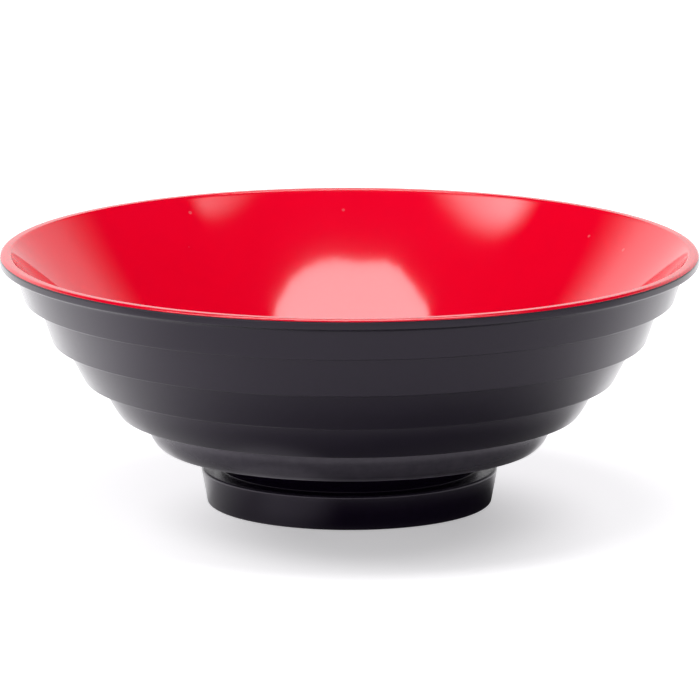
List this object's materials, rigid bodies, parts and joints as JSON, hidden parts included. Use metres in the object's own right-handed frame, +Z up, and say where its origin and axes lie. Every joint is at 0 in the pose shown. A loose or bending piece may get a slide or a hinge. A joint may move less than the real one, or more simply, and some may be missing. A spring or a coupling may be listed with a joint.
{
  "type": "noodle bowl",
  "caption": "Wide conical melamine noodle bowl with a smooth glossy red inside, a satin black stepped outside, a red-capped lip, a neck groove and a tapered foot ring.",
  "frame": {"origin": "centre of the foot ring's lower face, on the table", "axes": "+Z up along the bowl's axis of revolution, out of its mouth; X and Y lie in the table and are alike, with -Y towards the viewer of the picture"},
  "size_m": [0.23, 0.23, 0.0836],
  "materials": {
    "black_melamine": "satin",
    "red_melamine": "gloss"
  },
  "bodies": {
    "root": {"outer_shell": "black_melamine", "inner_liner": "red_melamine"}
  },
  "joints": []
}
